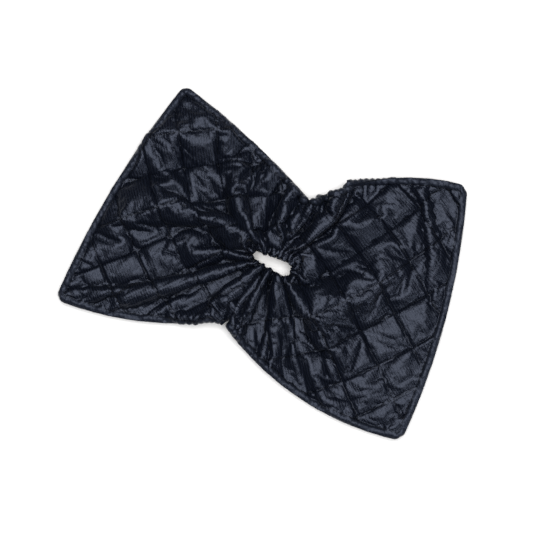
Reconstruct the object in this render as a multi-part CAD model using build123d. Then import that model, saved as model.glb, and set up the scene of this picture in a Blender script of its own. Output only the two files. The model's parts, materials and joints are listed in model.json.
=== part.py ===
"""A cheer hair bow: a quilted, padded panel with a hole in its middle that an elastic ring gathers.

The panel is two quilted layers, a front and a back. Each is a shell fabric with wadding behind it. The shells
are joined round the outer edge by a topstitched hem, and round the hole by a casing that holds the elastic.
Two wings fold at the gathers, and the bands above and below the hole slide apart as the elastic stretches.
Frame: X along the bow's length, Y across it, Z up, with the origin at the hole's centre on the surface below.
"""

from build123d import *
import math
import os

# Outline of the bow lying flat, mm: the wings' corners and the two notches at its waist.
UPPER_LEFT = Vector(-95.0, 89.0)
LOWER_LEFT = Vector(-125.0, -73.0)
UPPER_RIGHT = Vector(102.5, 92.5)
LOWER_RIGHT = Vector(121.0, -79.5)
NOTCH_TOP = Vector(9.5, 46.5)
NOTCH_BOTTOM = Vector(-12.0, -47.0)
# How far the middle of each edge bulges outwards.
LEFT_BULGE = 5.5
RIGHT_BULGE = 8.0
LOWER_LEFT_BULGE = 8.0
LOWER_RIGHT_BULGE = 13.0
UPPER_RIGHT_BULGE = 10.0
UPPER_LEFT_BULGE = 3.0
CORNER_RADIUS = 5.0

# Thicknesses.
GATHER_HEIGHT = 13.0
TIP_HEIGHT = 5.0
SHELL = 0.8
HEM_INSET = 6.0

# The gathered hole and the elastic in its casing.
HOLE_LENGTH = 26.0
HOLE_WIDTH = 8.0
HOLE_TILT = -6.0
CASING_WIDTH = 5.0
ELASTIC_INSET = 2.2
ELASTIC_THICKNESS = 1.2
ELASTIC_WIDTH = 6.0
ELASTIC_OVERLAP = 9.0
# The bars of stitching that join the elastic's overlapped ends.
JOIN_BARS = 5
JOIN_SPACING = 1.5
JOIN_BAR_LENGTH = 5.0

# The fold line of each wing, measured along the length from the waist's axis.
HINGE_OUT = 26.0
RUNNING_GAP = 0.4
END_INNER = 9.0
END_HALF_WIDTH = 12.0

# Quilting: squares set on their points, one inch along each side.
QUILT_SQUARE = 25.4
QUILT_ROWS = 7
LEFT_GRAIN = -10.0
RIGHT_GRAIN = 6.0
QUILT_MARGIN = 8.5
GROOVE_WIDTH = 1.8
GROOVE_DEPTH = 0.5
THREAD = 0.6
THREAD_RISE = 0.4

# Longer than the whole bow in every direction, for prisms that are cut to it.
REACH = 160.0
# How far an upright prism, and a groove's cutter, run past the surfaces they cross.
PRISM_MARGIN = 5.0
CUT_MARGIN = 1.0
WAIST = (NOTCH_TOP - NOTCH_BOTTOM).normalized()
ACROSS = Vector(WAIST.Y, -WAIST.X)
MIDDLE_HEIGHT = GATHER_HEIGHT / 2
BAND_HALF_WIDTH = HINGE_OUT - MIDDLE_HEIGHT - RUNNING_GAP

# The waist's frame in plan, and the upright plane square to it that holds the cross-sections.
WAIST_PLAN = Plane(origin=(0, 0, 0), x_dir=ACROSS, z_dir=(0, 0, 1))
SECTION = Plane(origin=(0, 0, 0), x_dir=ACROSS, z_dir=-1 * WAIST)


def bulged(start, end, bulge):
    """An arc between two points whose middle stands out to the left of the way along it."""
    along = (end - start).normalized()
    outward = Vector(-along.Y, along.X)
    return ThreePointArc(start, (start + end) * 0.5 + outward * bulge, end)


def outline(inset=0.0):
    """The bow's plan as a face, pulled in from its edge by inset."""
    edges = [
        bulged(LOWER_LEFT, UPPER_LEFT, LEFT_BULGE),
        bulged(UPPER_LEFT, NOTCH_TOP, UPPER_LEFT_BULGE),
        bulged(NOTCH_TOP, UPPER_RIGHT, UPPER_RIGHT_BULGE),
        bulged(UPPER_RIGHT, LOWER_RIGHT, RIGHT_BULGE),
        bulged(LOWER_RIGHT, NOTCH_BOTTOM, LOWER_RIGHT_BULGE),
        bulged(NOTCH_BOTTOM, LOWER_LEFT, LOWER_LEFT_BULGE),
    ]
    face = make_face(edges)
    corners = [UPPER_LEFT, LOWER_LEFT, UPPER_RIGHT, LOWER_RIGHT]
    near = [v for v in face.vertices() if min((Vector(*v) - c).length for c in corners) < CORNER_RADIUS]
    face = fillet(near, CORNER_RADIUS)
    return offset(face, -inset) if inset else face


def hole(grow=0.0):
    """The gathered hole in plan, as a slot grown outwards by grow."""
    slot = SlotOverall(HOLE_LENGTH + 2 * grow, HOLE_WIDTH + 2 * grow)
    return Rot(0, 0, HOLE_TILT) * slot


def prism(face):
    """A plan face as an upright prism that reaches past the whole height."""
    return Pos(0, 0, -PRISM_MARGIN) * extrude(face, amount=GATHER_HEIGHT + 2 * PRISM_MARGIN)


def plan_box(x_from, x_to, y_from, y_to):
    """A rectangle in the waist's plan frame."""
    centre = Pos((x_from + x_to) / 2, (y_from + y_to) / 2)
    return WAIST_PLAN * (centre * Rectangle(x_to - x_from, y_to - y_from))


def strip(edges):
    """A closed cross-section, drawn square to the waist, run out along the whole waist."""
    return extrude(SECTION * make_face(edges), amount=REACH, both=True)


def wing_layer(side, low, high):
    """What lies in a wing between two levels, each a share of the height with a skin left off it.

    low and high are (share, skin). Share 0 is the underside and 1 the top, which slopes down to the tip.
    """

    def level(share, skin):
        at_hinge = GATHER_HEIGHT * share + skin
        at_tip = TIP_HEIGHT * share + skin
        return (side * HINGE_OUT, at_hinge), (side * REACH, at_tip)

    (hinge_low, tip_low), (hinge_high, tip_high) = level(*low), level(*high)
    inner_low = (side * (HINGE_OUT - MIDDLE_HEIGHT), hinge_low[1])
    inner_high = (side * (HINGE_OUT - MIDDLE_HEIGHT), hinge_high[1])
    return strip(Polyline(inner_low, hinge_low, tip_low, tip_high, hinge_high, inner_high, close=True))


def wing_body(side, skin):
    """A wing with a round nose on its fold line, pulled in all over by skin."""
    radius = MIDDLE_HEIGHT - skin
    bottom = (side * HINGE_OUT, skin)
    top = (side * HINGE_OUT, GATHER_HEIGHT - skin)
    nose = (side * (HINGE_OUT - radius), MIDDLE_HEIGHT)
    tip_bottom, tip_top = (side * REACH, skin), (side * REACH, TIP_HEIGHT - skin)
    section = [
        Line(bottom, tip_bottom),
        Line(tip_bottom, tip_top),
        Line(tip_top, top),
        ThreePointArc(top, nose, bottom),
    ]
    return strip(section) & prism(outline(skin))


def flat_layer(low, high):
    """A level slab over the middle of the bow."""
    return Pos(0, 0, low) * extrude(plan_box(-REACH, REACH, -REACH, REACH), amount=high - low)


def quilting(grain, width):
    """The quilting rows in plan, both ways, as one net of strips of the given width."""
    rows = []
    for turn in (grain + 45, grain - 45):
        for row in range(-QUILT_ROWS, QUILT_ROWS + 1):
            rows.append(Rot(0, 0, turn) * (Pos(row * QUILT_SQUARE, 0) * Rectangle(width, 2 * REACH)))
    return Sketch() + rows


def hem_line(width):
    """The line of topstitching round the outer edge, in plan."""
    return outline(HEM_INSET - width / 2) - outline(HEM_INSET + width / 2)


def casing_line(width):
    """The line of stitching that closes the casing round the hole, in plan."""
    return hole(CASING_WIDTH + width / 2) - hole(CASING_WIDTH - width / 2)


def save(name, shape):
    """Writes one sub-part as a STEP file of its separate solids."""
    solids = shape.solids()
    export_step(solids[0] if len(solids) == 1 else Compound(children=solids), f"parts/{name}.step")


def build_wing(name, side, grain):
    """One wing: its shells, wadding, quilting and hem topstitch."""
    body, core = wing_body(side, 0.0), wing_body(side, SHELL)
    skin = body - core
    upper = wing_layer(side, (0.5, 0.0), (1.0, CUT_MARGIN))
    lower = wing_layer(side, (0.0, -CUT_MARGIN), (0.5, 0.0))

    outer = side * HINGE_OUT
    far = side * REACH
    plan = plan_box(min(outer, far), max(outer, far), -REACH, REACH)
    quilted = outline(QUILT_MARGIN) & plan
    groove_net = quilting(grain, GROOVE_WIDTH) & quilted
    thread_net = quilting(grain, THREAD) & quilted
    hem_groove, hem_thread = hem_line(GROOVE_WIDTH) & plan, hem_line(THREAD) & plan

    top_groove = wing_layer(side, (1.0, -GROOVE_DEPTH), (1.0, CUT_MARGIN))
    top_thread = wing_layer(side, (1.0, -GROOVE_DEPTH), (1.0, THREAD_RISE - GROOVE_DEPTH))
    bottom_groove = flat_layer(-CUT_MARGIN, GROOVE_DEPTH)
    bottom_thread = flat_layer(GROOVE_DEPTH - THREAD_RISE, GROOVE_DEPTH)
    grooves = prism(groove_net) + prism(hem_groove)

    save(f"{name}_front_shell", (skin & upper) - (grooves & top_groove))
    save(f"{name}_back_shell", (skin & lower) - (grooves & bottom_groove))
    save(f"{name}_front_wadding", core & upper)
    save(f"{name}_back_wadding", core & lower)
    save(f"{name}_front_quilting", prism(thread_net) & top_thread)
    save(f"{name}_back_quilting", prism(thread_net) & bottom_thread)
    hem = prism(hem_thread)
    save(f"{name}_hem_stitch", Compound(children=(hem & top_thread).solids() + (hem & bottom_thread).solids()))


def casing_shell(region, low, high):
    """The part of the shell over a region of the middle, between two levels: its face and its end walls."""
    inside = prism(outline(SHELL)) - prism(hole(SHELL))
    core = inside & flat_layer(SHELL, GATHER_HEIGHT - SHELL)
    whole = (prism(outline()) - prism(hole())) & flat_layer(low, high)
    return (whole - core) & prism(region)


def stitch_rows(line, region):
    """One row of stitching on each face of the middle, sunk in its groove."""
    area = prism(line & region)
    top = flat_layer(GATHER_HEIGHT - GROOVE_DEPTH, GATHER_HEIGHT - GROOVE_DEPTH + THREAD_RISE)
    bottom = flat_layer(GROOVE_DEPTH - THREAD_RISE, GROOVE_DEPTH)
    return Compound(children=(area & top).solids() + (area & bottom).solids())


def build_band(name, side, net_groove, net_thread):
    """The band between the hole and one notch: shells, wadding, quilting, hem and casing stitches."""
    far = side * REACH
    stem = plan_box(-END_INNER + RUNNING_GAP, END_INNER - RUNNING_GAP, min(0, far), max(0, far))
    start = side * (END_HALF_WIDTH + RUNNING_GAP)
    head = plan_box(-BAND_HALF_WIDTH, BAND_HALF_WIDTH, min(start, far), max(start, far))
    region = stem + head

    area = (outline(QUILT_MARGIN) - hole(CASING_WIDTH + 2 * THREAD + GROOVE_WIDTH)) & region
    grooves = prism(net_groove & area) + prism((hem_line(GROOVE_WIDTH) + casing_line(GROOVE_WIDTH)) & region)
    top_groove = flat_layer(GATHER_HEIGHT - GROOVE_DEPTH, GATHER_HEIGHT + CUT_MARGIN)
    bottom_groove = flat_layer(-CUT_MARGIN, GROOVE_DEPTH)

    front = casing_shell(region, MIDDLE_HEIGHT, GATHER_HEIGHT)
    back = casing_shell(region, 0, MIDDLE_HEIGHT)
    save(f"{name}_front_shell", front - (grooves & top_groove))
    save(f"{name}_back_shell", back - (grooves & bottom_groove))

    padded = prism(outline(SHELL) & region) - prism(hole(CASING_WIDTH + THREAD))
    save(f"{name}_front_wadding", padded & flat_layer(MIDDLE_HEIGHT, GATHER_HEIGHT - SHELL))
    save(f"{name}_back_wadding", padded & flat_layer(SHELL, MIDDLE_HEIGHT))
    save(f"{name}_quilting", stitch_rows(net_thread & area, region))
    save(f"{name}_hem_stitch", stitch_rows(hem_line(THREAD), region))
    save(f"{name}_casing_stitch", stitch_rows(casing_line(THREAD), region))


def build_end(name, side):
    """One end of the casing, where the gathers turn round the end of the hole."""
    inner, outer = side * END_INNER, side * BAND_HALF_WIDTH
    region = plan_box(min(inner, outer), max(inner, outer), -END_HALF_WIDTH, END_HALF_WIDTH)
    grooves = prism(casing_line(GROOVE_WIDTH) & region)
    front = casing_shell(region, MIDDLE_HEIGHT, GATHER_HEIGHT)
    back = casing_shell(region, 0, MIDDLE_HEIGHT)
    top_groove = flat_layer(GATHER_HEIGHT - GROOVE_DEPTH, GATHER_HEIGHT + CUT_MARGIN)
    bottom_groove = flat_layer(-CUT_MARGIN, GROOVE_DEPTH)
    save(f"{name}_front_casing", front - (grooves & top_groove))
    save(f"{name}_back_casing", back - (grooves & bottom_groove))
    padded = prism(region) - prism(hole(CASING_WIDTH + THREAD))
    save(f"{name}_wadding", padded & flat_layer(SHELL, GATHER_HEIGHT - SHELL))
    save(f"{name}_casing_stitch", stitch_rows(casing_line(THREAD), region))


def build_elastic():
    """The elastic: a flat band on edge in a closed loop, and the stitches that join its overlapped ends."""
    low = MIDDLE_HEIGHT - ELASTIC_WIDTH / 2
    loop = hole(ELASTIC_INSET + ELASTIC_THICKNESS) - hole(ELASTIC_INSET)
    ring = Pos(0, 0, low) * extrude(loop, amount=ELASTIC_WIDTH)
    overlap_at = -(HOLE_WIDTH / 2 + ELASTIC_INSET + 1.5 * ELASTIC_THICKNESS)
    overlap = Pos(0, overlap_at, MIDDLE_HEIGHT) * Box(ELASTIC_OVERLAP, ELASTIC_THICKNESS, ELASTIC_WIDTH)
    save("elastic_ring", ring + Rot(0, 0, HOLE_TILT) * overlap)

    thread_at = overlap_at - ELASTIC_THICKNESS / 2 - THREAD_RISE / 2
    bars = []
    for number in range(JOIN_BARS):
        along = (number - (JOIN_BARS - 1) / 2) * JOIN_SPACING
        bar = Box(THREAD, THREAD_RISE, JOIN_BAR_LENGTH)
        bars.append(Rot(0, 0, HOLE_TILT) * Pos(along, thread_at, MIDDLE_HEIGHT) * bar)
    save("elastic_join_stitches", Compound(children=[s for bar in bars for s in bar.solids()]))


def main():
    os.makedirs("parts", exist_ok=True)
    build_wing("left_wing", -1, LEFT_GRAIN)
    build_wing("right_wing", 1, RIGHT_GRAIN)
    grain = (LEFT_GRAIN + RIGHT_GRAIN) / 2
    for name, side in (("upper_band", 1), ("lower_band", -1)):
        build_band(name, side, quilting(grain, GROOVE_WIDTH), quilting(grain, THREAD))
    build_end("left_end", -1)
    build_end("right_end", 1)
    build_elastic()


main()
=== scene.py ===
"""The looks of the cheer hair bow: two quilted satin sheets, sewn together flat and then gathered.

The flat panel is built first, in its own coordinates (u along the bow, v across it), with the quilting,
hem and casing seams tying its two sheets together. Blender's Cloth inflates the squares, pulls the hole
in to the elastic's size and the outer edge in to the CAD outline, and lets the fabric fold. A second,
finer simulation wrinkles it. The result is cut into pieces by the regions of the CAD bodies, and the CAD
parts that the pieces stand for are hidden.
"""

import json
import math

import bpy
import numpy as np
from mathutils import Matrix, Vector, noise


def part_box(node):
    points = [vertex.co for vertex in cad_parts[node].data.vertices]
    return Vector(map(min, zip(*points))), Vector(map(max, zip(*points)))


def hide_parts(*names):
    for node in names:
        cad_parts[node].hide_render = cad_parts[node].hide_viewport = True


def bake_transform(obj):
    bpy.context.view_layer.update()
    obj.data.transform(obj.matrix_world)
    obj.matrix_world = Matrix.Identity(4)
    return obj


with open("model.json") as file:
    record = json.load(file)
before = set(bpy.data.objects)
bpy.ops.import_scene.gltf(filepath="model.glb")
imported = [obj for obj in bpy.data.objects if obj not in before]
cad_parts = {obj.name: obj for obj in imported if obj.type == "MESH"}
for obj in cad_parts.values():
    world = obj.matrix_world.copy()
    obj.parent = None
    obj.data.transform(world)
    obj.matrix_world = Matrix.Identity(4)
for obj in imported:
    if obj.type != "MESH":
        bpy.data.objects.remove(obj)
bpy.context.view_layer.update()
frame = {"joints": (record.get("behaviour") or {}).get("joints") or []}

MM = 0.001
SIM_SCALE = 10.0  # the cloth solver works better on a cloth a few metres wide

# The flat panel, as cut and quilted, on a grid of square cells.
QUILT_SQUARE = 25.4 * MM
HALF_DIAGONAL = 8  # cells from a quilted square's middle to its corner
CELL = QUILT_SQUARE / math.sqrt(2) / HALF_DIAGONAL
LEFT_CELLS = 66
RIGHT_CELLS = 69
HALF_CELLS = 38
HEM_CELLS = 2
CASING_CELLS = 3
HEM_WIDTH = HEM_CELLS * CELL
FLAT_HOLE_RADIUS = 37 * MM
CASING_RADIUS = FLAT_HOLE_RADIUS + CASING_CELLS * CELL
# Where the left wing's quilting crosses, in cells from the left edge and from the middle, and how many
# cells higher the right wing's lies.
QUILT_START = (HALF_DIAGONAL, -7)
RIGHT_SHIFT = 4

# The outline that the bow lies in, as in the CAD part. A bulge is how far an edge stands from its chord.
UPPER_LEFT = np.array([-95.0, 89.0]) * MM
LOWER_LEFT = np.array([-125.0, -73.0]) * MM
UPPER_RIGHT = np.array([102.5, 92.5]) * MM
LOWER_RIGHT = np.array([121.0, -79.5]) * MM
NOTCH_TOP = np.array([9.5, 46.5]) * MM
NOTCH_BOTTOM = np.array([-12.0, -47.0]) * MM
LEFT_BULGE = 5.5 * MM
RIGHT_BULGE = 8.0 * MM
LOWER_LEFT_BULGE = 8.0 * MM
LOWER_RIGHT_BULGE = 13.0 * MM
UPPER_RIGHT_BULGE = 10.0 * MM
UPPER_LEFT_BULGE = 3.0 * MM
CORNER_RADIUS = 4 * MM
EDGE_HEIGHT = 2 * MM
# At the bottom notch the right wing's hem hangs lower than the left's. At both it lies over the left's.
OVERLAP_LEFT = np.array([2.0, 3.5]) * MM
OVERLAP_RIGHT = np.array([-1.5, -3.0]) * MM
OVERLAP_RISE = 3.5 * MM
# How much of the hem's length the gathers take up at a notch, how high they stand and how much the hem
# rises with them, and the share of the gathers' width in which the hem passes from wing to wing.
GATHER_SHARE = 0.68
HEM_WAVE = 3.6 * MM
HEM_RISE = 0.8
HEM_CROSSING = 0.4

# The gathered hole.
HOLE_LENGTH = 27.5 * MM
HOLE_WIDTH = 9.0 * MM
# The hole's width in its middle, and how much that grows towards its right end, as shares of HOLE_WIDTH.
HOLE_TAPER = (0.86, 0.26)
HOLE_TILT = math.radians(-6.0)
RING_HEIGHT = 6.5 * MM
SCALLOP = 0.6 * MM
# Directions round the hole, in degrees, where a gather's crest leaves it.
CRESTS = np.array([4, 26, 58, 76, 92, 108, 124, 146, 170, 197, 220, 243, 277, 304, 338, 364.0])
# A wide gather stands higher than a narrow one, within these shares of the usual height.
USUAL_GAP = 24
PLEAT_HEIGHT = 3.2 * MM
PLEAT_SHARES = (0.8, 1.15)
# The larger folds: direction in degrees, half-width in degrees and height, above or below the rest.
FOLDS = (
    (144, 7, 5.0), (124, 8, -2.0), (166, 8, 2.5), (185, 6, -3.0), (205, 8, 1.5),
    (230, 8, 2.0), (260, 8, -4.0), (308, 8, 3.0), (327, 6, -4.0), (340, 8, 2.0),
    (15, 9, 1.5), (42, 6, -3.0), (58, 8, 5.0),
)
# A fold grows to its height within FOLD_GROWTH of the hole. Far out, the share of it that is left is the
# first number of FOLD_FADE less the radius over the second.
FOLD_GROWTH = 15 * MM
FOLD_FADE = (1.6, 130 * MM)

# Thicknesses of the sewn layers.
SHEET = 0.3 * MM
EDGE_OFFSET = 0.3 * MM
EDGE_TAPER = 3 * MM
SEAM_OFFSET = 0.7 * MM
WADDING_HALF = 0.15 * MM
ELASTIC_HALF = 0.35 * MM
# Where the wadding and the elastic lie, in cells from the seams and from the hole's flat edge.
WADDING_OVER_HEM = 0.1
WADDING_FROM_CASING = 1.6
ELASTIC_FROM_HOLE = 0.5
ELASTIC_FROM_CASING = 0.4
ELASTIC_MIDDLE = (0.9, 2.1)

# Stitching. A thread's ends are pointed over THREAD_TAPER of its length, and it lies THREAD_LIFT radii up.
STITCH = 2.5 * MM
STITCH_GAP = 0.7 * MM
THREAD_RADIUS = 0.17 * MM
THREAD_SIDES = 6
THREAD_TAPER = 0.15
THREAD_LIFT = 0.3
JOIN_BARS = 4
JOIN_SPACING = 2.0 * MM

# The waist's frame, from the CAD joints: ACROSS points along the bow and WAIST along the wings' fold lines.
JOINTS = {j["name"]: j for j in frame["joints"]}
WAIST = np.array(JOINTS["left_fold"]["axis"][:2])
ACROSS = np.array([WAIST[1], -WAIST[0]])
REGIONS = ("left_wing", "right_wing", "upper_left", "upper_right", "lower_left", "lower_right")
# The distance along the bow where a wing's pieces are cut.
WING_CUT = 22 * MM
# How far along the waist a band reaches.
BAND_REACH = 52 * MM

# The simulation. The two sheets start START_GAP above and below START_HEIGHT.
START_HEIGHT = 5 * MM
START_GAP = 0.4 * MM
FOLD_FRAMES = 60
PULL_FRAMES = 36
CREASE_FRAMES = 12
CLOTH_SETTINGS = {
    "quality": 6,
    "mass": 0.05,
    "air_damping": 2.0,
    "tension_stiffness": 15,
    "compression_stiffness": 15,
    "shear_stiffness": 10,
    "tension_damping": 5,
    "compression_damping": 5,
    "shear_damping": 5,
    "bending_damping": 0.5,
    "vertex_group_mass": "pinned",
    "use_pressure": True,
}
FOLD_SETTINGS = {"bending_stiffness": 0.6, "uniform_pressure_force": 5.0}
# The finer cloth grows by 3% as it settles, which wrinkles it between its seams.
CREASE_SETTINGS = {"bending_stiffness": 0.05, "uniform_pressure_force": 3.5, "shrink_min": -0.03}
GRAVITY_SHARE = 0.6
FRICTION = 0.5
# The solver's floor and gaps, in its own scale.
FLOOR_SIZE = 8
FLOOR_DEPTH = 0.01
FLOOR_GAP = 0.002
CLOTH_GAP = 0.004

# How far each quilted square and the hem stand above their seams, on top of what the simulation gives.
PUFF = 0.5 * MM
PUFF_WIDTH = 3 * MM
HEM_PUFF = 0.7 * MM
# Puffs and creases fade in along CALM_REACH, of which the casing is at CALM_START.
CALM_REACH = 25 * MM
CALM_START = 0.3
# Creases of the thin fabric: distance between two, direction in degrees and height.
CREASES = (
    (15 * MM, 20, 0.55 * MM),
    (11 * MM, 82, 0.4 * MM),
    (13 * MM, 143, 0.5 * MM),
    (6 * MM, 110, 0.15 * MM),
)
WANDER = 22 * MM
CREASE_MARGIN = 2.5 * MM
# Puckers beside the seams: their size and height, and where they begin and end.
PUCKER_SIZE = 2.6 * MM
PUCKER_HEIGHT = 0.6 * MM
PUCKER_MARGIN = 0.6 * MM
PUCKER_REACH = 2.2 * MM
CRINKLE_MARGIN = 1.5 * MM
SHEET_SEEDS = {"front": 0.0, "back": 40.0}
PUCKER_SEED = 9

# The wave texture's ribs are this far apart at a scale of 1.
WAVE_PERIOD = math.pi / 10

# The camera looks straight down, turned so that the bow lies at its slant.
CAMERA_HEIGHT = 1.4
SENSOR = 36.0
VIEW_WIDTH = 351.8 * MM
LENS = SENSOR * CAMERA_HEIGHT / VIEW_WIDTH
VIEW_CENTRE = (-2.5 * MM, -3.6 * MM)
VIEW_TURN = math.radians(20.7)

# The table, and the lights: place and size in metres, power in watts and colour.
TABLE_HALF = 2.0
TABLE_HEIGHT = -0.4 * MM
KEY_LIGHT = ((-0.05, 0.2, 1.7), 1.6, 50, (1.0, 0.99, 0.98))
FILL_LIGHT = ((1.3, -0.6, 0.9), 0.5, 6, (0.95, 0.97, 1.0))
WORLD_COLOUR = (0.93, 0.96, 1.0, 1)
WORLD_STRENGTH = 0.09


def smooth_step(x):
    """0 below 0, 1 above 1 and smooth between them."""
    x = np.clip(x, 0, 1)
    return x * x * (3 - 2 * x)


def crest_phase(degrees):
    """How far round a gather each direction is: 0 on a crest, 0.5 in the valley after it."""
    turned = (degrees - CRESTS[0]) % 360 + CRESTS[0]
    before = np.clip(np.searchsorted(CRESTS, turned, side="right") - 1, 0, len(CRESTS) - 2)
    gap = CRESTS[before + 1] - CRESTS[before]
    return (turned - CRESTS[before]) / gap, gap


def arc_points(start, end, bulge, share):
    """Points along the arc from start to end whose middle stands out to the left by bulge."""
    chord = end - start
    length = np.hypot(*chord)
    along = chord / length
    outward = np.array([-along[1], along[0]])
    radius = (length * length / 4 + bulge * bulge) / (2 * bulge)
    half = math.asin(length / 2 / radius)
    centre = start + chord / 2 + outward * (bulge - radius)
    turn = half * (2 * share - 1)
    return centre + radius * (np.sin(turn)[:, None] * along + np.cos(turn)[:, None] * outward)


def arc_length(start, end, bulge):
    """The length of that arc."""
    points = arc_points(start, end, bulge, np.linspace(0, 1, 60))
    return float(np.hypot(*np.diff(points, axis=0).T).sum())


def slot_points(length, width, share):
    """Points round a slot, counter-clockwise from its +X end, at shares of its length round."""
    radius, straight = width / 2, length - width
    quarter = math.pi * radius / 2
    corners = np.cumsum([0, quarter, straight, 2 * quarter, straight, quarter])
    at = (share % 1) * corners[-1]
    angle = np.select(
        [at < corners[1], at < corners[2], at < corners[3], at < corners[4]],
        [at / radius, math.pi / 2, math.pi / 2 + (at - corners[2]) / radius, -math.pi / 2],
        -math.pi / 2 + (at - corners[4]) / radius,
    )
    centre = np.select(
        [at < corners[1], at < corners[2], at < corners[3], at < corners[4]],
        [straight / 2, straight / 2 - (at - corners[1]), -straight / 2, -straight / 2 + (at - corners[3])],
        straight / 2,
    )
    return np.stack([centre + radius * np.cos(angle), radius * np.sin(angle)], 1)


class Panel:
    """The flat panel: two sheets on one grid, which share their vertices along every seam."""

    def __init__(self):
        across = np.arange(-LEFT_CELLS, RIGHT_CELLS + 1)
        up = np.arange(-HALF_CELLS, HALF_CELLS + 1)
        self.i, self.j = np.meshgrid(across, up, indexing="ij")
        u, v = self.i * CELL, self.j * CELL
        radius = np.hypot(u, v)
        self.angle = np.arctan2(v, u)
        kept = np.hypot(u[:-1, :-1] + CELL / 2, v[:-1, :-1] + CELL / 2) > FLAT_HOLE_RADIUS
        count = np.zeros(u.shape, int)
        for a in (0, 1):
            for b in (0, 1):
                count[a:a + kept.shape[0], b:b + kept.shape[1]] += kept
        used = count > 0
        self.ring = used & (count < 4) & (radius < FLAT_HOLE_RADIUS + 3 * CELL)
        self.casing = used & ~self.ring & (abs(radius - CASING_RADIUS) < 0.5 * CELL)
        u = np.where(self.ring, FLAT_HOLE_RADIUS * np.cos(self.angle), u)
        v = np.where(self.ring, FLAT_HOLE_RADIUS * np.sin(self.angle), v)
        self.find_seams(used, radius)
        self.number(used, u, v)
        self.make_faces(kept)

    def find_seams(self, used, radius):
        """Marks the grid points where the two sheets are sewn together."""
        i, j = self.i, self.j
        start_i, start_j = QUILT_START[0] - LEFT_CELLS, QUILT_START[1]
        start_j = np.where(i > 0, start_j + RIGHT_SHIFT, start_j)
        self.falling = (i - start_i + j - start_j) % (2 * HALF_DIAGONAL) == 0
        self.rising = (i - start_i - j + start_j) % (2 * HALF_DIAGONAL) == 0
        edge = (i == -LEFT_CELLS) | (i == RIGHT_CELLS) | (abs(j) == HALF_CELLS)
        depth = np.minimum(np.minimum(i + LEFT_CELLS, RIGHT_CELLS - i), HALF_CELLS - abs(j))
        self.edge = edge & used
        self.hem = (depth == HEM_CELLS) & used
        self.quilted = (depth >= HEM_CELLS) & used & (radius > CASING_RADIUS - 0.5 * CELL)
        quilting = (self.falling | self.rising) & self.quilted
        self.tied = (self.edge | self.hem | self.ring | self.casing | quilting) & used

    def number(self, used, u, v):
        """Numbers the vertices: the front sheet's first, then the back sheet's own."""
        loose = used & ~self.tied
        self.front = np.full(used.shape, -1)
        self.front[used] = np.arange(used.sum())
        self.back = self.front.copy()
        self.back[loose] = used.sum() + np.arange(loose.sum())
        self.flat = np.concatenate([np.stack([u[used], v[used]], 1), np.stack([u[loose], v[loose]], 1)])
        self.side = np.concatenate([loose[used].astype(float), -np.ones(loose.sum())])

    def make_faces(self, kept):
        """Cuts each cell in two triangles, along a seam where one crosses it."""
        front, back = [], []
        for i, j in zip(*np.nonzero(kept)):
            a, b, c, d = (i, j), (i + 1, j), (i + 1, j + 1), (i, j + 1)
            up = self.rising[a] and self.rising[c]
            down = self.falling[b] and self.falling[d]
            if up or (not down and (i + j) % 2 == 0):
                corners = ((a, b, c), (a, c, d))
            else:
                corners = ((a, b, d), (b, c, d))
            for corner in corners:
                front.append([self.front[k] for k in corner])
                back.append([self.back[k] for k in corner[::-1]])
        self.front_faces, self.back_faces = np.array(front), np.array(back)


def fold_height(flat):
    """The shallow start of the larger folds, which the gathered fabric then follows."""
    degrees = np.degrees(np.arctan2(flat[:, 1], flat[:, 0])) % 360
    radius = np.hypot(*flat.T)
    height = np.zeros(len(flat))
    for direction, width, rise in FOLDS:
        turn = (degrees - direction + 180) % 360 - 180
        height += rise * MM * np.exp(-(turn / width) ** 2)
    begin = np.clip((radius - FLAT_HOLE_RADIUS) / FOLD_GROWTH, 0, 1)
    return height * begin * np.clip(FOLD_FADE[0] - radius / FOLD_FADE[1], 0, 1)


def hem_targets(panel, row, corners, bulges, notches):
    """Where one long edge goes: along two arcs that meet in a notch, pleated up and down near it."""
    u = panel.i[row] * CELL
    ends = (-LEFT_CELLS * CELL, RIGHT_CELLS * CELL)
    lengths = [arc_length(corner, notch, bulge) for corner, notch, bulge in zip(corners, notches, bulges)]
    hidden = ends[1] - ends[0] - sum(lengths)
    middle = ends[0] + lengths[0] + hidden / 2
    spread = hidden / (GATHER_SHARE * math.sqrt(math.pi))
    fine = np.linspace(*ends, 2000)
    kept = 1 - GATHER_SHARE * np.exp(-((fine - middle) / spread) ** 2)
    travel = np.concatenate([[0], np.cumsum((kept[1:] + kept[:-1]) / 2 * np.diff(fine))])
    turn = np.interp(middle, fine, travel)
    at = np.interp(u, fine, travel)
    left_share = np.clip(at / turn, 0, 1)
    right_share = np.clip((travel[-1] - at) / (travel[-1] - turn), 0, 1)
    left = arc_points(corners[0], notches[0], bulges[0], left_share)
    right = arc_points(corners[1], notches[1], bulges[1], right_share)
    side = smooth_step((u - middle) / (HEM_CROSSING * spread) + 0.5)
    place = left + side[:, None] * (right - left)
    phase, _ = crest_phase(np.degrees(panel.angle[row]))
    wave = HEM_WAVE * np.sqrt(1 - np.interp(u, fine, kept) ** 2)
    height = EDGE_HEIGHT + HEM_RISE * wave + wave * np.cos(2 * math.pi * phase)
    height += OVERLAP_RISE * side * np.exp(-((u - middle) / (2 * spread)) ** 2)
    return place, height


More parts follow.
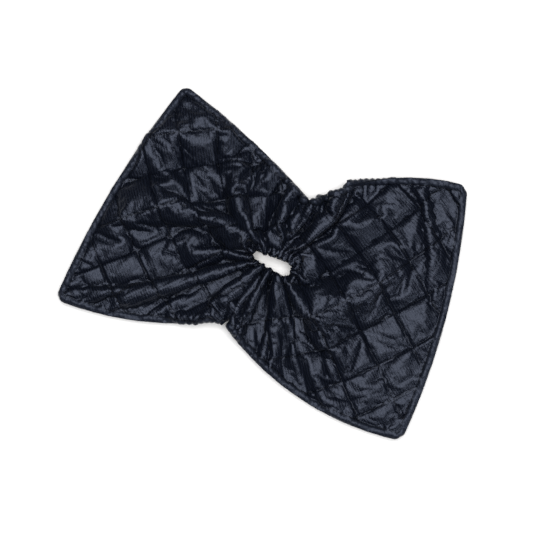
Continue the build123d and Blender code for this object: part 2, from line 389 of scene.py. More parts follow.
def gathered_targets(panel, points):
    """The gathered places of the pinned vertices, and which vertices are pinned."""
    target, pinned = points.copy(), np.zeros(len(points), bool)

    def place(row, plan, height):
        target[panel.front[row]] = np.column_stack([plan, np.broadcast_to(height, len(plan))])
        pinned[panel.front[row]] = True

    angle = panel.angle[panel.ring]
    phase, gap = crest_phase(np.degrees(angle))
    crest = np.cos(2 * math.pi * phase)
    plan = slot_points(HOLE_LENGTH, HOLE_WIDTH, angle / (2 * math.pi))
    plan[:, 1] *= HOLE_TAPER[0] + HOLE_TAPER[1] * plan[:, 0] / (HOLE_LENGTH / 2)
    uneven = 1 + 0.5 * np.sin(3 * angle + 1)
    scallop = SCALLOP * crest * uneven
    plan -= scallop[:, None] * plan / np.hypot(*plan.T)[:, None]
    c, s = math.cos(HOLE_TILT), math.sin(HOLE_TILT)
    plan = plan @ np.array([[c, s], [-s, c]])
    place(panel.ring, plan, RING_HEIGHT + PLEAT_HEIGHT * crest * np.clip(gap / USUAL_GAP, *PLEAT_SHARES))

    top = panel.edge & (panel.j == HALF_CELLS)
    bulges = (UPPER_LEFT_BULGE, -UPPER_RIGHT_BULGE)
    notches = (NOTCH_TOP, NOTCH_TOP)
    place(top, *hem_targets(panel, top, (UPPER_LEFT, UPPER_RIGHT), bulges, notches))
    low = panel.edge & (panel.j == -HALF_CELLS)
    bulges = (-LOWER_LEFT_BULGE, LOWER_RIGHT_BULGE)
    notches = (NOTCH_BOTTOM + OVERLAP_LEFT, NOTCH_BOTTOM + OVERLAP_RIGHT)
    place(low, *hem_targets(panel, low, (LOWER_LEFT, LOWER_RIGHT), bulges, notches))
    share = (panel.j / HALF_CELLS + 1) / 2
    left, right = panel.i == -LEFT_CELLS, panel.i == RIGHT_CELLS
    place(left, arc_points(LOWER_LEFT, UPPER_LEFT, LEFT_BULGE, share[left]), EDGE_HEIGHT)
    place(right, arc_points(LOWER_RIGHT, UPPER_RIGHT, -RIGHT_BULGE, share[right]), EDGE_HEIGHT)
    return target, pinned


def mesh_object(name, points, faces):
    """A new mesh object in the scene."""
    mesh = bpy.data.meshes.new(name)
    mesh.from_pydata(points.tolist(), [], faces.tolist())
    mesh.update()
    made = bpy.data.objects.new(name, mesh)
    bpy.context.scene.collection.objects.link(made)
    return made


def add_key(cloth, name, points):
    """A shape key with the given points."""
    key = cloth.shape_key_add(name=name)
    key.data.foreach_set("co", (points * SIM_SCALE).astype(np.float32).ravel())
    return key


def run_cloth(points, faces, pinned, frames, pull_frames, target=None, rest=None, **settings):
    """Steps Blender's Cloth on a floor and returns where the vertices end."""
    scene = bpy.context.scene
    cloth = mesh_object("cloth", points * SIM_SCALE, faces)
    add_key(cloth, "start", points)
    if target is not None:
        pull = add_key(cloth, "gathered", target)
        for frame_number, value in ((1, 0.0), (pull_frames, 1.0)):
            pull.value = value
            pull.keyframe_insert("value", frame=frame_number)
    group = cloth.vertex_groups.new(name="pinned")
    group.add([int(k) for k in np.flatnonzero(pinned)], 1.0, "REPLACE")
    bpy.ops.mesh.primitive_plane_add(size=FLOOR_SIZE, location=(0, 0, -FLOOR_DEPTH))
    floor = bpy.context.object
    floor.modifiers.new("Collision", "COLLISION")
    floor.collision.thickness_outer = FLOOR_GAP
    floor.collision.cloth_friction = FRICTION
    modifier = cloth.modifiers.new("Cloth", "CLOTH")
    solver = modifier.settings
    for name, value in {**CLOTH_SETTINGS, **settings}.items():
        setattr(solver, name, value)
    solver.effector_weights.gravity = GRAVITY_SHARE
    if rest is not None:
        solver.rest_shape_key = add_key(cloth, "rest", rest)
        cloth.data.shape_keys.key_blocks["rest"].value = 0
    modifier.collision_settings.distance_min = CLOTH_GAP
    modifier.collision_settings.friction = FRICTION
    modifier.point_cache.frame_start, modifier.point_cache.frame_end = 1, frames
    scene.frame_start, scene.frame_end = 1, frames
    for number in range(1, frames + 1):
        scene.frame_set(number)
    shaped = cloth.evaluated_get(bpy.context.evaluated_depsgraph_get()).data
    ended = np.zeros(len(points) * 3, np.float32)
    shaped.vertices.foreach_get("co", ended)
    for used in (cloth, floor):
        bpy.data.objects.remove(used)
    scene.frame_set(1)
    return ended.reshape(-1, 3).astype(float) / SIM_SCALE


def split_faces(faces, arrays):
    """Cuts every triangle in four. arrays are per-vertex values, which the new vertices share out evenly."""
    pairs = np.sort(np.concatenate([faces[:, [0, 1]], faces[:, [1, 2]], faces[:, [2, 0]]]), axis=1)
    edges, which = np.unique(pairs, axis=0, return_inverse=True)
    count = len(arrays[0])
    ab, bc, ca = which.reshape(3, -1) + count
    a, b, c = faces.T
    finer = np.stack([np.stack(t, 1) for t in ((a, ab, ca), (ab, b, bc), (ca, bc, c), (ab, bc, ca))], 1)
    halves = [np.concatenate([values, (values[edges[:, 0]] + values[edges[:, 1]]) / 2]) for values in arrays]
    return finer.reshape(-1, 3), halves


def sewn_fabric():
    """The gathered panel: simulated coarsely for its folds, then with finer triangles for its creases."""
    panel = Panel()
    height = START_HEIGHT + START_GAP * panel.side + fold_height(panel.flat)
    points = np.column_stack([panel.flat, height])
    target, pinned = gathered_targets(panel, points)
    faces = np.concatenate([panel.front_faces, panel.back_faces])
    folded = run_cloth(points, faces, pinned, FOLD_FRAMES, PULL_FRAMES, target=target, **FOLD_SETTINGS)
    finer, halved = split_faces(faces, [folded, points, pinned.astype(float), panel.flat])
    folded, rest, pinned, flat = halved
    creased = run_cloth(folded, finer, pinned == 1, CREASE_FRAMES, 1, rest=rest, **CREASE_SETTINGS)
    return panel, creased, flat, finer


def vertex_normals(points, faces):
    """Area-weighted vertex normals of some triangles."""
    a, b, c = points[faces[:, 0]], points[faces[:, 1]], points[faces[:, 2]]
    face = np.cross(b - a, c - a)
    normals = np.zeros_like(points)
    for corner in range(3):
        np.add.at(normals, faces[:, corner], face)
    length = np.linalg.norm(normals, axis=1)
    return normals / np.where(length > 0, length, 1)[:, None]


def seam_distances(flat):
    """How far each flat point is from the quilting and from the panel's edge, in metres."""
    cells = flat / CELL
    start_i = QUILT_START[0] - LEFT_CELLS
    start_j = np.where(cells[:, 0] > 0.5, QUILT_START[1] + RIGHT_SHIFT, QUILT_START[1])
    period = 2 * HALF_DIAGONAL
    along, across = cells[:, 0] - start_i, cells[:, 1] - start_j
    lines = [abs((value + period / 2) % period - period / 2) for value in (along + across, along - across)]
    quilting = np.minimum(*lines) * CELL / math.sqrt(2)
    edge = np.minimum.reduce([
        flat[:, 0] + LEFT_CELLS * CELL,
        RIGHT_CELLS * CELL - flat[:, 0],
        HALF_CELLS * CELL - abs(flat[:, 1]),
    ])
    return quilting, edge


def round_corners(points):
    """Draws the four sharp outer corners in to arcs, and what is near them along with them."""
    outline = (UPPER_LEFT, LOWER_LEFT, LOWER_RIGHT, UPPER_RIGHT)
    inner = (NOTCH_TOP, NOTCH_BOTTOM, NOTCH_BOTTOM, NOTCH_TOP)
    across = (LOWER_LEFT, UPPER_LEFT, UPPER_RIGHT, LOWER_RIGHT)
    for corner, first, second in zip(outline, inner, across):
        sides = [(end - corner) / np.hypot(*(end - corner)) for end in (first, second)]
        bisector = (sides[0] + sides[1]) / np.hypot(*(sides[0] + sides[1]))
        half = math.acos(float(bisector @ sides[0]))
        centre = corner + CORNER_RADIUS / math.sin(half) * bisector
        out = points[:, :2] - centre
        reach = np.hypot(*out.T)
        turn = np.arccos(np.clip(-(out @ bisector) / np.maximum(reach, 1e-9), -1, 1))
        scale = np.where(turn < math.pi / 2 - half, np.cos(math.pi / 2 - half - turn), 1)
        points[:, :2] = centre + out * scale[:, None]


def noise_over(flat, size, seed):
    """Smooth noise from about -1 to 1 with features of that size."""
    return np.array([noise.noise((u / size, v / size, seed)) for u, v in flat])


def crushed(flat, period, degrees, wander, strength):
    """Straight-sided ridges about a period apart that come and go, from 0 to 1."""
    angle = math.radians(degrees)
    along = flat @ np.array([math.cos(angle), math.sin(angle)]) + 0.5 * period * wander
    return abs(2 * (along / period % 1) - 1) * np.clip(0.5 + 1.6 * strength, 0, 1)


class Fabric:
    """The finished surfaces: the front and back sheets over one numbering of the vertices."""

    def __init__(self):
        self.panel, mid, self.flat, faces = sewn_fabric()
        count = len(faces) // 2
        self.faces = {"front": faces[:count], "back": faces[count:]}
        round_corners(mid)
        quilting, self.edge = seam_distances(self.flat)
        self.radius = np.hypot(*self.flat.T)
        seam = np.minimum(abs(self.edge - HEM_WIDTH), abs(self.radius - CASING_RADIUS))
        inside = (self.edge > HEM_WIDTH) & (self.radius > CASING_RADIUS)
        self.seam = np.where(inside, np.minimum(seam, quilting), seam)
        self.calm = smooth_step((self.radius - CASING_RADIUS) / CALM_REACH + CALM_START)
        self.surface, self.normal = {}, {}
        for name, sheet in self.faces.items():
            offset = self.thickness() + self.crinkles(SHEET_SEEDS[name])
            surface = mid + vertex_normals(mid, sheet) * offset[:, None]
            self.surface[name] = surface
            self.normal[name] = vertex_normals(surface, sheet)
        lowest = min(self.surface["back"][np.unique(self.faces["back"])][:, 2].min(), mid[:, 2].min())
        for name in self.surface:
            self.surface[name][:, 2] -= lowest
        self.mid = mid - np.array([0, 0, lowest])

    def thickness(self):
        """How far a sheet's face stands from the simulated one: least at the edges, more between seams."""
        rim = np.minimum(self.edge, self.radius - FLAT_HOLE_RADIUS)
        base = EDGE_OFFSET + (SEAM_OFFSET - EDGE_OFFSET) * smooth_step(rim / EDGE_TAPER)
        puff = np.where(self.edge > HEM_WIDTH, PUFF * smooth_step(self.seam / PUFF_WIDTH) * self.calm, 0)
        roll = np.sqrt(np.clip(np.sin(math.pi * np.clip(self.edge / HEM_WIDTH, 0, 1)), 0, 1))
        return base + (puff + HEM_PUFF * roll)

    def crinkles(self, seed):
        """How far one sheet's creases, and its puckers beside the seams, stand out."""
        height = np.zeros(len(self.flat))
        for period, degrees, rise in CREASES:
            wander = noise_over(self.flat, WANDER, seed + degrees)
            strength = noise_over(self.flat, WANDER, seed + degrees + 0.5)
            height += rise * crushed(self.flat, period, degrees, wander, strength)
        height *= smooth_step(self.seam / CREASE_MARGIN) * self.calm
        near_seam = np.exp(-(self.seam / PUCKER_REACH) ** 2) * smooth_step(self.seam / PUCKER_MARGIN)
        puckers = abs(noise_over(self.flat, PUCKER_SIZE, seed + PUCKER_SEED))
        height += PUCKER_HEIGHT * puckers * near_seam * self.calm
        return height * smooth_step(self.edge / CRINKLE_MARGIN)


def in_waist_frame(points):
    """Distances along the bow and along the waist."""
    x, y = points[:, 0], points[:, 1]
    return x * ACROSS[0] + y * ACROSS[1], x * WAIST[0] + y * WAIST[1]


def region_of(points):
    """The number in REGIONS that each point belongs to."""
    out, up = in_waist_frame(points)
    middle = 2 + 2 * (up < 0) + (out > 0)
    return np.where(out < -WING_CUT, 0, np.where(out > WING_CUT, 1, middle))


def follow(piece, region):
    """Bakes a piece's placement into its mesh. For a band piece it also works out the line from the hole's
    end to the band's corner, which nothing then uses.
    """
    if region.endswith("wing"):
        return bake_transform(piece)
    up = 1 if region.startswith("upper") else -1
    out = -1 if region.endswith("left") else 1
    hole_end = out * HOLE_LENGTH / 2 * ACROSS
    corner = out * WING_CUT * ACROSS + up * BAND_REACH * WAIST
    line = (corner - hole_end) / np.hypot(*(corner - hole_end))
    inward = np.array([-line[1], line[0]])
    inward = inward if inward @ (-out * ACROSS) > 0 else -inward
    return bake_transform(piece)


def compact(faces, *arrays):
    """The faces renumbered over only the vertices that they use, and those vertices' values."""
    used, inverse = np.unique(faces, return_inverse=True)
    return inverse.reshape(faces.shape), [values[used] for values in arrays]


def rim_faces(faces, count):
    """Quads as triangles, joining a sheet's open boundary to that of its copy, numbered count higher."""
    sides = np.concatenate([faces[:, [0, 1]], faces[:, [1, 2]], faces[:, [2, 0]]])
    keys = np.sort(sides, axis=1)
    _, first, times = np.unique(keys, axis=0, return_index=True, return_counts=True)
    a, b = sides[first[times == 1]].T
    return np.concatenate([np.stack([b, a, a + count], 1), np.stack([b, a + count, b + count], 1)])


def solid_object(name, outer, inner, faces, normals, fabric, material):
    """A thin closed solid between two copies of a sheet, with the fabric's own coordinates and distances."""
    values = (outer, inner, normals, fabric.flat, fabric.seam, fabric.edge)
    faces, (outer, inner, normals, flat, seam, edge) = compact(faces, *values)
    count = len(outer)
    whole = np.concatenate([faces, faces[:, ::-1] + count, rim_faces(faces, count)])
    made = mesh_object(f"sewn_{name}", np.concatenate([outer, inner]), whole)
    mesh = made.data
    mesh.polygons.foreach_set("use_smooth", np.ones(len(whole), bool))
    corners = np.zeros(len(mesh.loops), int)
    mesh.loops.foreach_get("vertex_index", corners)
    layer = mesh.uv_layers.new(name="cloth")
    layer.data.foreach_set("uv", np.concatenate([flat, flat])[corners].astype(np.float32).ravel())
    for label, values in (("seam_distance", seam), ("edge_distance", edge)):
        attribute = mesh.attributes.new(label, "FLOAT", "POINT")
        attribute.data.foreach_set("value", np.concatenate([values, values]).astype(np.float32))
    shading = np.concatenate([normals, -normals])
    mesh.normals_split_custom_set_from_vertices(shading.tolist())
    mesh.materials.append(material)
    return made


def region_pieces(fabric, materials):
    """The sheets, wadding and elastic, cut by region: each piece's region, name, slot, object and faces."""
    coarse = fabric.panel.front_faces
    region = region_of(fabric.mid[fabric.faces["front"]].mean(1))
    coarse_region = region_of(fabric.mid[coarse].mean(1))
    edge, radius = fabric.edge[coarse], fabric.radius[coarse]
    inside_hem = (edge > HEM_WIDTH - WADDING_OVER_HEM * CELL).all(1)
    padded = inside_hem & (radius > CASING_RADIUS + WADDING_FROM_CASING * CELL).all(1)
    off_hole = (radius > FLAT_HOLE_RADIUS + ELASTIC_FROM_HOLE * CELL).all(1)
    elastic = off_hole & (radius < CASING_RADIUS - ELASTIC_FROM_CASING * CELL).all(1)
    up, down = fabric.normal["front"], fabric.normal["back"]
    wadding_top = fabric.mid + WADDING_HALF * up
    wadding_low = carry_over(fabric, fabric.mid + WADDING_HALF * down)
    centre, thick = between_sheets(fabric), ELASTIC_HALF * up
    made = []

    def add(name, kind, slot, outer, inner, chosen, normals):
        if len(chosen):
            label = f"{name}_{kind}"
            piece = solid_object(label, outer, inner, chosen, normals, fabric, materials[slot])
            made.append((name, label, slot, piece, chosen))

    for number, name in enumerate(REGIONS):
        for sheet, faces in fabric.faces.items():
            outer, normal = fabric.surface[sheet], fabric.normal[sheet]
            chosen = faces[region == number]
            add(name, f"{sheet}_shell", "satin", outer, outer - SHEET * normal, chosen, normal)
        here = coarse_region == number
        add(name, "wadding", "wadding", wadding_top, wadding_low, coarse[padded & here], up)
        add(name, "elastic", "elastic", centre + thick, centre - thick, coarse[elastic & here], up)
    return made


def carry_over(fabric, back_values):
    """Values of the back sheet's vertices, moved to the numbers of the front sheet's coarse vertices."""
    panel = fabric.panel
    used = panel.front >= 0
    carried = back_values.copy()
    carried[panel.front[used]] = back_values[panel.back[used]]
    return carried


def between_sheets(fabric):
    """The surface halfway between the two sheets, at the front sheet's coarse vertices."""
    return (fabric.surface["front"] + carry_over(fabric, fabric.surface["back"])) / 2


def stitch_lines(fabric):
    """Every seam as a list of coarse grid rows and columns, in order: quilting, hem and casing."""
    panel = fabric.panel
    shape = panel.i.shape
    lines = {"quilting": [], "hem_stitch": [], "casing_stitch": []}
    for offset in range(-shape[1], shape[0] + shape[1]):
        for rising in (True, False):
            j = np.arange(shape[1])
            i = offset + (j if rising else shape[1] - 1 - j)
            good = (i >= 0) & (i < shape[0])
            i, j = i[good], j[good]
            marked = (panel.rising if rising else panel.falling)[i, j] & panel.quilted[i, j]
            for run in np.split(np.arange(len(i)), np.flatnonzero(~marked)):
                run = run[marked[run]]
                if len(run) > 2:
                    lines["quilting"].append((i[run], j[run]))
    low_i, high_i = HEM_CELLS, shape[0] - 1 - HEM_CELLS
    low_j, high_j = HEM_CELLS, shape[1] - 1 - HEM_CELLS
    for j in (low_j, high_j):
        lines["hem_stitch"].append((np.arange(low_i, high_i + 1), np.full(high_i - low_i + 1, j)))
    for i in (low_i, high_i):
        lines["hem_stitch"].append((np.full(high_j - low_j + 1, i), np.arange(low_j, high_j + 1)))
    i, j = np.nonzero(panel.casing)
    order = np.argsort(panel.angle[i, j])
    order = np.append(order, order[0])
    lines["casing_stitch"].append((i[order], j[order]))
    return lines


def stitches_along(points, normals):
    """The two ends and the normal of each stitch along a line of points."""
    steps = np.linalg.norm(np.diff(points, axis=0), axis=1)
    travel = np.concatenate([[0], np.cumsum(steps)])
    starts = np.arange(STITCH_GAP / 2, travel[-1] - STITCH, STITCH + STITCH_GAP)

    def at(distance, values):
        return np.stack([np.interp(distance, travel, values[:, k]) for k in range(3)], 1)

    return at(starts, points), at(starts + STITCH, points), at(starts + STITCH / 2, normals)


def thread_object(name, starts, ends, normals, material):
    """Stitches as short many-sided threads with pointed ends."""
    along = ends - starts
    length = np.linalg.norm(along, axis=1, keepdims=True)
    along = along / np.maximum(length, 1e-9)
    sideways = np.cross(normals, along)
    sideways /= np.maximum(np.linalg.norm(sideways, axis=1, keepdims=True), 1e-9)
    upward = np.cross(along, sideways)
    rings = []
    for share in (THREAD_TAPER, 1 - THREAD_TAPER):
        for k in range(THREAD_SIDES):
            turn = 2 * math.pi / THREAD_SIDES * k
            round_it = THREAD_RADIUS * (math.cos(turn) * sideways + math.sin(turn) * upward)
            rings.append(starts + share * (ends - starts) + round_it + THREAD_LIFT * THREAD_RADIUS * upward)
    points = np.stack([*rings, starts, ends], 1)
    first_tip = 2 * THREAD_SIDES
    one = []
    for k in range(THREAD_SIDES):
        n = (k + 1) % THREAD_SIDES
        far_k, far_n = k + THREAD_SIDES, n + THREAD_SIDES
        one += [(k, n, far_n), (k, far_n, far_k), (first_tip, n, k), (first_tip + 1, far_k, far_n)]
    faces = np.array(one)[None] + points.shape[1] * np.arange(len(starts))[:, None, None]
    faces = faces.reshape(-1, 3)
    made = mesh_object(f"sewn_{name}", points.reshape(-1, 3), faces[:, ::-1])
    made.data.polygons.foreach_set("use_smooth", np.ones(len(faces), bool))
    made.data.materials.append(material)
    return made


def stitch_pieces(fabric, materials):
    """The stitching of each kind, sheet and region, listed as region_pieces lists its own."""
    made = []
    for kind, lines in stitch_lines(fabric).items():
        for sheet in ("front", "back"):
            surface, normal = fabric.surface[sheet], fabric.normal[sheet]
            parts = []
            for i, j in lines:
                numbers = fabric.panel.front[i, j]
                parts.append(stitches_along(surface[numbers], normal[numbers]))
            starts, ends, normals = (np.concatenate(values) for values in zip(*parts))
            region = region_of((starts + ends) / 2)
            for number, name in enumerate(REGIONS):
                chosen = region == number
                if chosen.any():
                    label = f"{name}_{sheet}_{kind}"
                    picked = (starts[chosen], ends[chosen], normals[chosen])
                    piece = thread_object(label, *picked, materials["thread"])
                    made.append((name, label, "thread", piece, None))
    return made


class Shader:
    """A small helper for node materials: makes nodes and joins sockets by name."""

    def __init__(self, name):
        self.material = bpy.data.materials.new(name)
        self.material.use_nodes = True
        self.tree = self.material.node_tree
        self.surface = self.tree.nodes["Principled BSDF"]

    def node(self, kind, settings=(), **inputs):
        """A node with its settings, and its inputs set to numbers or joined to other nodes' sockets."""
        made = self.tree.nodes.new(kind)
        for name, value in dict(settings).items():
            setattr(made, name, value)
        self.join(made, inputs)
        return made

    def join(self, made, inputs):
        """Sets or joins inputs, named with _ for a space, or by number after a leading _."""
        for name, value in inputs.items():
            socket = made.inputs[int(name[1:])] if name[0] == "_" else made.inputs[name.replace("_", " ")]
            if isinstance(value, bpy.types.NodeSocket):
                self.tree.links.new(value, socket)
            else:
                socket.default_value = value

    def math(self, operation, a, b=0.0, c=0.0):
        """One sum."""
        return self.node("ShaderNodeMath", {"operation": operation}, _0=a, _1=b, _2=c).outputs[0]

    def noise(self, place, scale, detail=2.0, roughness=0.5):
        """Noise at a number of features per unit."""
        made = self.node("ShaderNodeTexNoise", Vector=place, Scale=scale, Detail=detail, Roughness=roughness)
        return made.outputs["Fac"]

    def bands(self, place, spacing, direction, wander=0.6):
        """Ribs across a direction, which on X and Y are spacing millimetres apart."""
        settings = {"bands_direction": direction, "wave_profile": "SIN"}
        scale = WAVE_PERIOD / spacing
        made = self.node("ShaderNodeTexWave", settings, Vector=place, Scale=scale, Distortion=wander)
        made.inputs["Detail"].default_value = 1.0
        return made.outputs["Fac"]

    def ramp(self, value, low, high, first, second):
        """first where value is below low, second where it is above high."""
        settings = {"interpolation_type": "SMOOTHSTEP"}
        inputs = {"_0": value, "_1": low, "_2": high, "_3": first, "_4": second}
        return self.node("ShaderNodeMapRange", settings, **inputs).outputs[0]

    def mix_colours(self, factor, first, second):
        """first where factor is 0, second where it is 1."""
        made = self.node("ShaderNodeMix", {"data_type": "RGBA"}, _0=factor, _6=first, _7=second)
        return made.outputs[2]

    def cloth_place(self):
        """The fabric's own flat coordinates, in millimetres."""
        place = self.node("ShaderNodeUVMap", {"uv_map": "cloth"}).outputs[0]
        return self.node("ShaderNodeVectorMath", {"operation": "SCALE"}, _0=place, Scale=1 / MM).outputs[0]

    def attribute(self, name):
        """A per-vertex distance, in millimetres."""
        value = self.node("ShaderNodeAttribute", {"attribute_name": name}).outputs["Fac"]
        return self.math("MULTIPLY", value, 1 / MM)

    def bump(self, height, distance, normal=None):
        """A bump whose full height is distance, in metres."""
        made = self.node("ShaderNodeBump", Height=height, Distance=distance, Strength=1.0)
        if normal is not None:
            self.tree.links.new(normal, made.inputs["Normal"])
        return made.outputs[0]

    def finish(self, **inputs):
        """The material, once its surface has these inputs."""
        self.join(self.surface, inputs)
        return self.material


def satin_material():
    """Black satin-weave nylon with a blue cast: a fine weave, crinkles along the seams, painted shade in the
    seam grooves and a worn hem.
    """
    s = Shader("satin")
    place = s.cloth_place()
    seam, edge = s.attribute("seam_distance"), s.attribute("edge_distance")
    weave = s.math("MULTIPLY", s.bands(place, 0.42, "X"), s.bands(place, 0.36, "Y"))
    floats = s.bands(place, 1.15, "DIAGONAL", wander=2.5)
    slubs = s.noise(place, 1.25, 3.0, 0.75)
    crease = s.math("ABSOLUTE", s.math("SUBTRACT", s.noise(place, 0.22, 2.0, 0.5), 0.5))
    pucker = s.noise(place, 0.55, 1.0, 0.4)
    near_seam = s.ramp(seam, 0.2, 3.5, 1.0, 0.0)
    hem = s.ramp(edge, 3.6, 4.6, 1.0, 0.0)
    cloudy = s.noise(place, 0.05, 3.0, 0.6)
    grain = s.math("MULTIPLY_ADD", floats, 0.25, s.math("MULTIPLY", weave, 0.15))
    grain = s.math("MULTIPLY_ADD", slubs, 0.6, grain)
    black, lit = (0.0004, 0.0006, 0.0014, 1), (0.0045, 0.0060, 0.0115, 1)
    faded, worn = (0.0050, 0.0066, 0.0120, 1), (0.012, 0.015, 0.024, 1)
    colour = s.mix_colours(s.ramp(grain, 0.25, 0.7, 0.0, 1.0), black, lit)
    colour = s.mix_colours(s.math("MULTIPLY", cloudy, 0.4), colour, faded)
    # Painted shade: within about a millimetre of each seam the colour goes to black, standing in for the
    # shade in the seam's groove.
    colour = s.mix_colours(s.math("MULTIPLY", s.ramp(seam, 0.1, 0.9, 1.0, 0.0), 0.8), colour, black)
    colour = s.mix_colours(s.math("MULTIPLY", hem, 0.35), colour, worn)
    roughness = s.math("MULTIPLY_ADD", grain, 0.50, s.math("MULTIPLY_ADD", hem, 0.1, 0.04))
    relief = s.bump(crease, 0.5 * MM)
    relief = s.bump(s.math("MULTIPLY", pucker, near_seam), 0.35 * MM, relief)
    relief = s.bump(grain, 0.16 * MM, relief)
    s.surface.inputs["Specular IOR Level"].default_value = 0.26
    s.surface.inputs["Specular Tint"].default_value = (0.66, 0.75, 1.0, 1)
    s.surface.inputs["Sheen Weight"].default_value = 0.02
    s.surface.inputs["Sheen Roughness"].default_value = 0.35
    s.surface.inputs["Sheen Tint"].default_value = (0.70, 0.80, 1.0, 1)
    return s.finish(Base_Color=colour, Roughness=roughness, Normal=relief)


def wadding_material():
    """Charcoal polyester wadding: matted fibres."""
    s = Shader("wadding")
    place = s.cloth_place()
    fibres = s.noise(place, 1.2, 6.0, 0.75)
    clumps = s.noise(place, 0.12, 3.0)
    dark, light, clumped = (0.003, 0.0035, 0.005, 1), (0.014, 0.016, 0.021, 1), (0.009, 0.010, 0.014, 1)
    colour = s.mix_colours(fibres, dark, light)
    colour = s.mix_colours(s.math("MULTIPLY", clumps, 0.5), colour, clumped)
    s.surface.inputs["Specular IOR Level"].default_value = 0.1
    s.surface.inputs["Sheen Weight"].default_value = 0.03
    return s.finish(Base_Color=colour, Roughness=0.95, Normal=s.bump(fibres, 0.4 * MM))


def elastic_material():
    """Black braided elastic: fine ribs along its length."""
    s = Shader("elastic")
    place = s.cloth_place()
    ribs = s.math("MULTIPLY", s.bands(place, 1.1, "X"), s.bands(place, 0.8, "Y"))
    wear = s.noise(place, 0.8, 4.0, 0.6)
    dark, light, worn = (0.002, 0.0022, 0.003, 1), (0.010, 0.011, 0.014, 1), (0.016, 0.017, 0.021, 1)
    colour = s.mix_colours(ribs, dark, light)
    colour = s.mix_colours(s.math("MULTIPLY", wear, 0.3), colour, worn)
    s.surface.inputs["Specular IOR Level"].default_value = 0.1
    return s.finish(Base_Color=colour, Roughness=0.8, Normal=s.bump(ribs, 0.15 * MM))


def thread_material():
    """Black polyester sewing thread: a two-ply twist with a slight shine."""
    s = Shader("thread")
    place = s.node("ShaderNodeTexCoord").outputs["Object"]
    place = s.node("ShaderNodeVectorMath", {"operation": "SCALE"}, _0=place, Scale=1 / MM).outputs[0]
    twist = s.bands(place, 0.3, "DIAGONAL")
    fuzz = s.noise(place, 3.0, 3.0, 0.7)
    dark, light, worn = (0.0015, 0.002, 0.0035, 1), (0.006, 0.007, 0.011, 1), (0.012, 0.014, 0.020, 1)
    colour = s.mix_colours(twist, dark, light)
    colour = s.mix_colours(s.math("MULTIPLY", fuzz, 0.35), colour, worn)
    s.surface.inputs["Specular IOR Level"].default_value = 0.15
    return s.finish(Base_Color=colour, Roughness=0.55, Normal=s.bump(s.math("ADD", twist, fuzz), 0.05 * MM))


def backdrop_material():
    """A plain white table."""
    s = Shader("backdrop")
    place = s.node("ShaderNodeTexCoord").outputs["Object"]
    white, whiter = (0.86, 0.86, 0.865, 1), (0.89, 0.89, 0.89, 1)
    colour = s.mix_colours(s.noise(place, 40.0, 3.0), white, whiter)
    return s.finish(Base_Color=colour, Roughness=0.9)


def replaced_nodes(region, name):
    """The CAD nodes that a piece stands for."""
    if region.endswith("wing"):
        if name.endswith("wadding"):
            return [f"{region}_front_wadding", f"{region}_back_wadding"]
        return [name.replace("_front_hem_stitch", "_hem_stitch").replace("_back_hem_stitch", "_hem_stitch")]
    height, end = region.split("_")
    band, end = f"{height}_band", f"{end}_end"
    rest = name[len(region) + 1:]
    if rest == "wadding":
        return [f"{band}_front_wadding", f"{band}_back_wadding", f"{end}_wadding"]
    if rest == "elastic":
        return ["elastic_ring"]
    if rest.endswith("shell"):
        side = rest.split("_")[0]
        return [f"{band}_{side}_shell", f"{end}_{side}_casing"]
    kind = rest.split("_", 1)[1]
    if kind == "casing_stitch":
        return [f"{band}_casing_stitch", f"{end}_casing_stitch"]
    return [f"{band}_{kind}"]


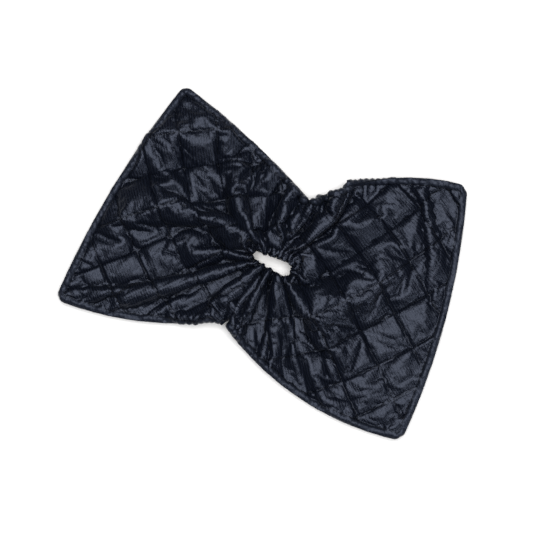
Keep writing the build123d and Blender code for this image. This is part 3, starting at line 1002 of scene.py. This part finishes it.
def join_stitches(fabric, materials):
    """Four bars of stitching across the elastic, where its two ends overlap."""
    low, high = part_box("elastic_join_stitches")
    centre = (Vector(low) + Vector(high)) / 2
    middle = between_sheets(fabric)
    inner, outer = (FLAT_HOLE_RADIUS + cells * CELL for cells in ELASTIC_MIDDLE)
    on_elastic = (fabric.radius > inner) & (fabric.radius < outer)
    on_elastic[len(fabric.panel.flat):] = False
    near = np.flatnonzero(on_elastic)
    nearest = near[np.argmin(np.hypot(*(middle[near, :2] - np.array(centre[:2])).T))]
    place, up = middle[nearest], fabric.normal["front"][nearest]
    outward = np.append(place[:2] / np.hypot(*place[:2]), 0)
    along = np.cross(up, outward)
    steps = (np.arange(JOIN_BARS) - (JOIN_BARS - 1) / 2) * JOIN_SPACING
    middles = place + steps[:, None] * along + (ELASTIC_HALF + THREAD_RADIUS) * up
    reach = STITCH / 2 * outward
    normals = np.tile(up, (JOIN_BARS, 1))
    return thread_object("elastic_join", middles - reach, middles + reach, normals, materials["thread"])


def build_bow():
    """Every piece of the bow, cut by the regions of its bodies, with the CAD parts that they stand for
    hidden.
    """
    materials = {
        "satin": satin_material(),
        "wadding": wadding_material(),
        "elastic": elastic_material(),
        "thread": thread_material(),
    }
    fabric = Fabric()
    join = join_stitches(fabric, materials)
    follow(join, "lower_left")
    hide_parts("elastic_join_stitches")
    pieces = region_pieces(fabric, materials) + stitch_pieces(fabric, materials)
    for region, name, material, piece, faces in pieces:
        follow(piece, region)
        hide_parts(*replaced_nodes(region, name))


def build_table():
    """The pale floor that the bow lies on."""
    corners = TABLE_HALF * np.array([[-1, -1, 0], [1, -1, 0], [1, 1, 0], [-1, 1, 0]])
    table = mesh_object("table", corners, np.array([[0, 1, 2, 3]]))
    table.location.z = TABLE_HEIGHT
    table.data.materials.append(backdrop_material())


def add_softbox(name, place, size, power, colour):
    """A square area light that faces the origin."""
    light = bpy.data.lights.new(name, "AREA")
    light.energy, light.size, light.color = power, size, colour
    made = bpy.data.objects.new(name, light)
    made.location = place
    made.rotation_euler = (-Vector(place)).to_track_quat("-Z", "Y").to_euler()
    bpy.context.scene.collection.objects.link(made)


def build_studio():
    """The lights, the world and the camera straight above the bow."""
    scene = bpy.context.scene
    scene.view_settings.view_transform = "Standard"
    add_softbox("key", *KEY_LIGHT)
    add_softbox("fill", *FILL_LIGHT)
    world = bpy.data.worlds.new("studio")
    world.use_nodes = True
    world.node_tree.nodes["Background"].inputs["Color"].default_value = WORLD_COLOUR
    world.node_tree.nodes["Background"].inputs["Strength"].default_value = WORLD_STRENGTH
    scene.world = world
    camera = bpy.data.cameras.new("camera")
    camera.lens = LENS
    camera.sensor_width = SENSOR
    made = bpy.data.objects.new("camera", camera)
    made.location = (*VIEW_CENTRE, CAMERA_HEIGHT)
    made.rotation_euler = (0, 0, VIEW_TURN)
    scene.collection.objects.link(made)
    scene.camera = made


build_bow()
build_table()
build_studio()
